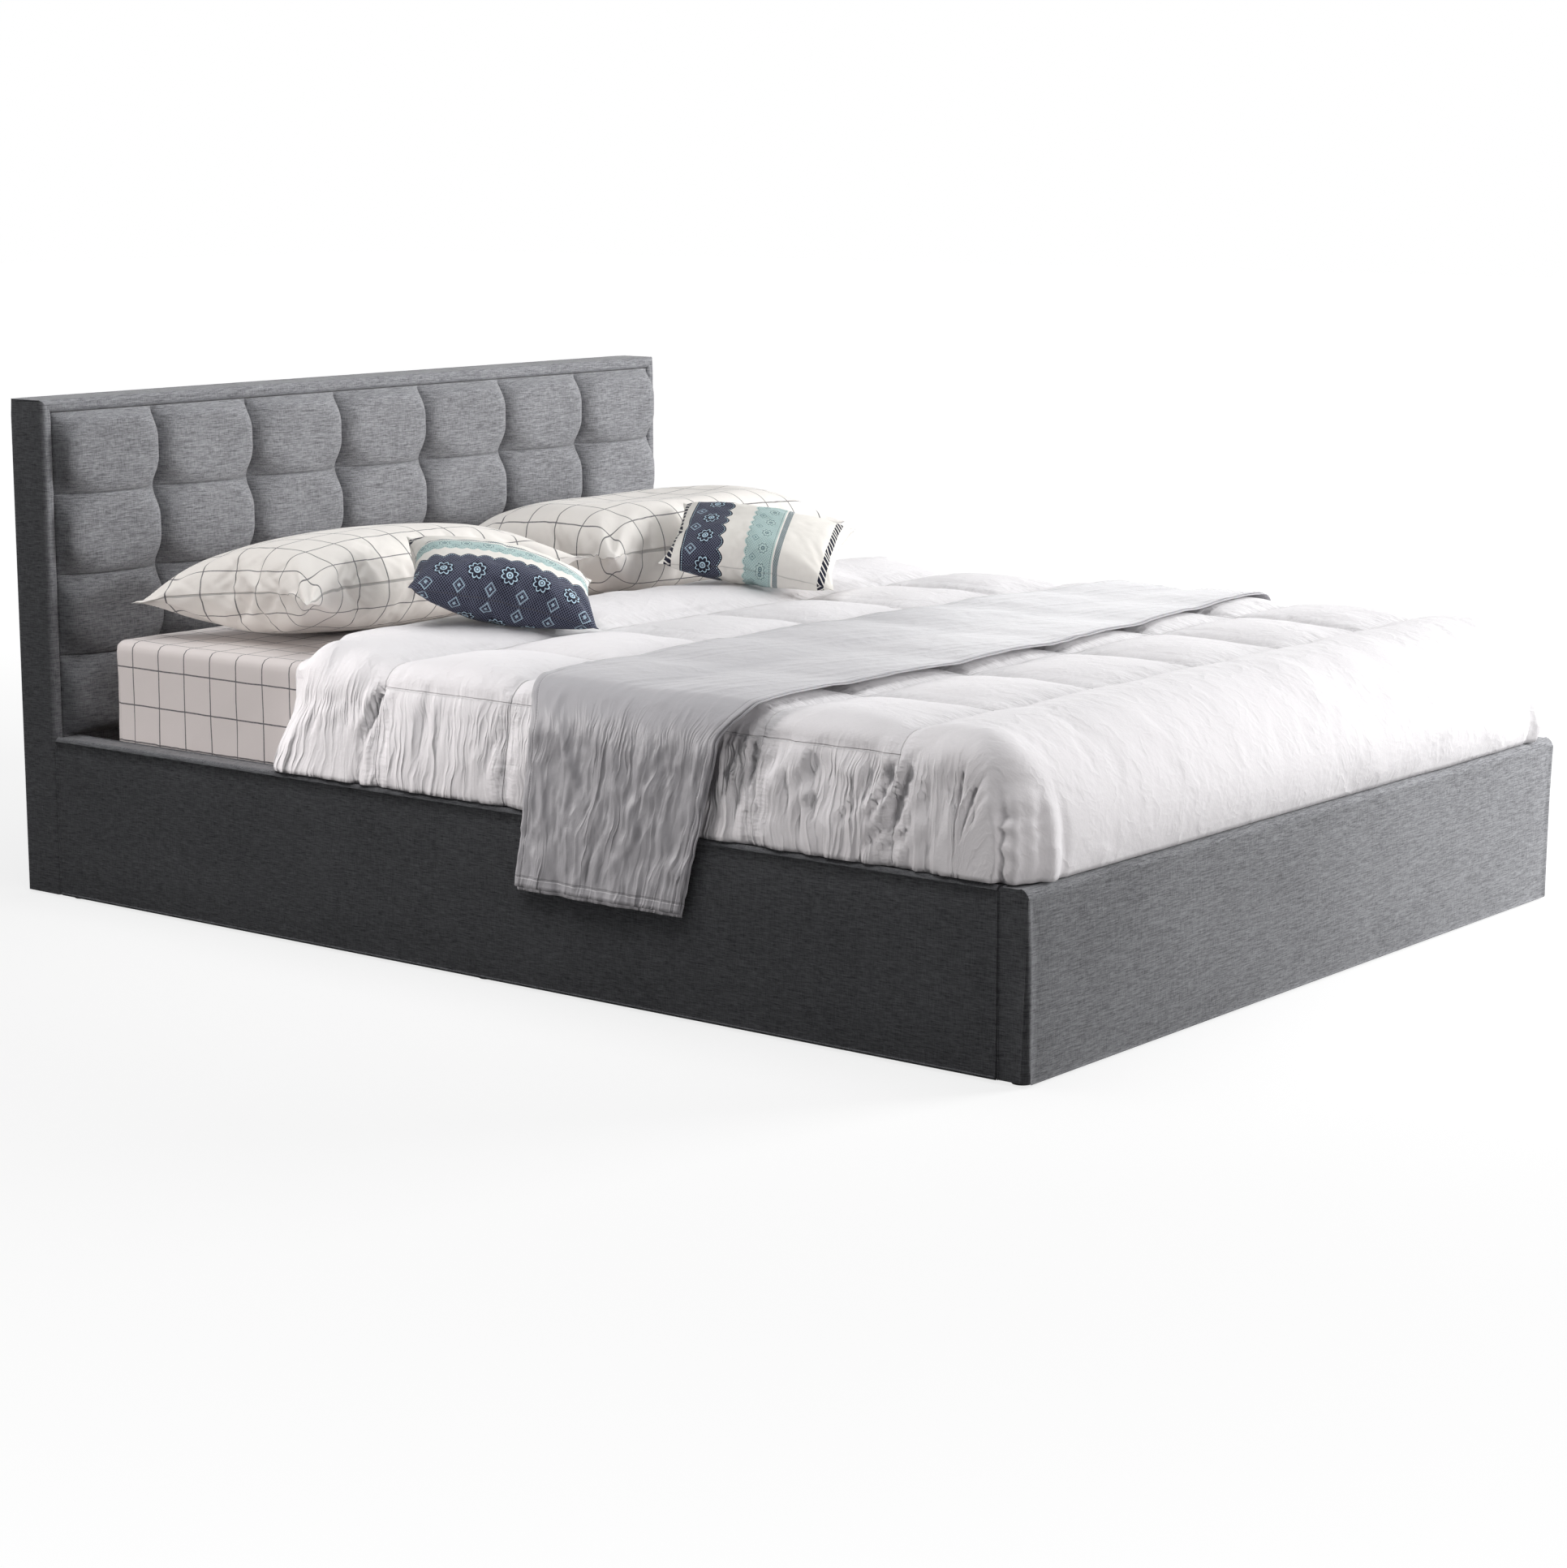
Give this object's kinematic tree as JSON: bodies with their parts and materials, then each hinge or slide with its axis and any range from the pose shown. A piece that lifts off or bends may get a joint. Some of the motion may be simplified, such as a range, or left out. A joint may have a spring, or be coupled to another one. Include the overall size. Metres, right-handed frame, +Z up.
{
  "type": "double bed",
  "caption": "Upholstered storage bed with a tufted headboard, lift-up slatted platform on links and gas struts, mattress and bedding.",
  "frame": {"origin": "centre of the bed's bounding box on the floor", "axes": "+X to the right of a person lying on their back seen from the foot, +Y from the foot panel to the headboard, +Z up"},
  "size_m": [1.7776, 2.282, 0.93],
  "materials": {
    "upholstery": "woven, matt",
    "timber": "planed",
    "board": "flat board",
    "lining": "plain weave, matt",
    "lift_steel": "satin black",
    "tube_steel": "satin grey",
    "strut_black": "satin",
    "rod_steel": "polished",
    "bolt_steel": "zinc plated",
    "slat_wood": "lacquered",
    "cap_plastic": "moulded",
    "glide_plastic": "moulded",
    "pad_rubber": "matt",
    "webbing": "woven webbing",
    "ticking": "woven ticking",
    "sheet_cotton": "white cotton with a thin grid",
    "duvet_cotton": "white, quilted",
    "runner_cloth": "light grey",
    "pillow_cotton": "white cotton with a thin grid",
    "cushion_cotton": "off-white with navy and green bands"
  },
  "bodies": {
    "base": {"headboard_border_left": "upholstery", "headboard_border_right": "upholstery", "headboard_border_top": "upholstery", "headboard_panel": "upholstery", "headboard_lower_panel": "upholstery", "headboard_back": "lining", "headboard_frame": "timber", "rail_board_left": "board", "rail_board_right": "board", "rail_cover_left": "upholstery", "rail_cover_right": "upholstery", "foot_board": "board", "foot_cover": "upholstery", "glides": "glide_plastic", "floor_battens": "timber", "floor_panels": "board", "foot_ledge": "timber", "rest_brackets": "lift_steel", "rest_pads": "pad_rubber", "corner_brackets": "bolt_steel", "corner_bolts": "bolt_steel", "lift_plate_left": "lift_steel", "lift_plate_right": "lift_steel"},
    "rear_links": {"rear_link_left": "lift_steel", "rear_link_right": "lift_steel"},
    "platform": {"frame_side_left": "tube_steel", "frame_side_right": "tube_steel", "frame_head": "tube_steel", "frame_foot": "tube_steel", "frame_centre": "tube_steel", "lift_bracket_left": "lift_steel", "lift_bracket_right": "lift_steel", "slats": "slat_wood", "slat_caps": "cap_plastic", "head_stops": "tube_steel", "pull_strap": "webbing", "mattress": "ticking", "fitted_sheet": "sheet_cotton", "duvet": "duvet_cotton", "runner": "runner_cloth", "pillow_left": "pillow_cotton", "pillow_right": "pillow_cotton", "cushion_left": "cushion_cotton", "cushion_right": "cushion_cotton"},
    "front_links": {"front_link_left": "lift_steel", "front_link_right": "lift_steel"},
    "strut_tubes": {"strut_tube_left": "strut_black", "strut_tube_right": "strut_black"},
    "strut_rods": {"strut_rod_left": "rod_steel", "strut_rod_right": "rod_steel"}
  },
  "joints": [
    {"name": "rear_link_turn", "type": "hinge", "parent": "base", "child": "rear_links", "pos_m": [0, 0.409, 0.194], "axis": [1, 0, 0], "range_deg": [0, 60]},
    {"name": "platform_lift", "type": "hinge", "parent": "rear_links", "child": "platform", "pos_m": [0, 0.70244, 0.25637], "axis": [-1, 0, 0], "range_deg": [0, 94]},
    {"name": "front_link_turn", "type": "hinge", "parent": "base", "child": "front_links", "pos_m": [0, 0.2176, 0.0716], "axis": [1, 0, 0], "range_deg": [0, 46.99]},
    {"name": "strut_turn", "type": "hinge", "parent": "base", "child": "strut_tubes", "pos_m": [0, 0.459, 0.05], "axis": [1, 0, 0], "range_deg": [0, 34.35]},
    {"name": "strut_slide", "type": "slide", "parent": "strut_tubes", "child": "strut_rods", "axis": [0, 0.5647, 0.8253], "range_m": [0, 0.09267]}
  ],
  "couplings": [
    {"joint": "rear_link_turn", "follows": "platform_lift", "ratio": 0.63829},
    {"joint": "front_link_turn", "follows": "platform_lift", "ratio": 0.49992},
    {"joint": "strut_turn", "follows": "platform_lift", "ratio": 0.36544},
    {"joint": "strut_slide", "follows": "platform_lift", "m_per_rad": 0.056483}
  ]
}
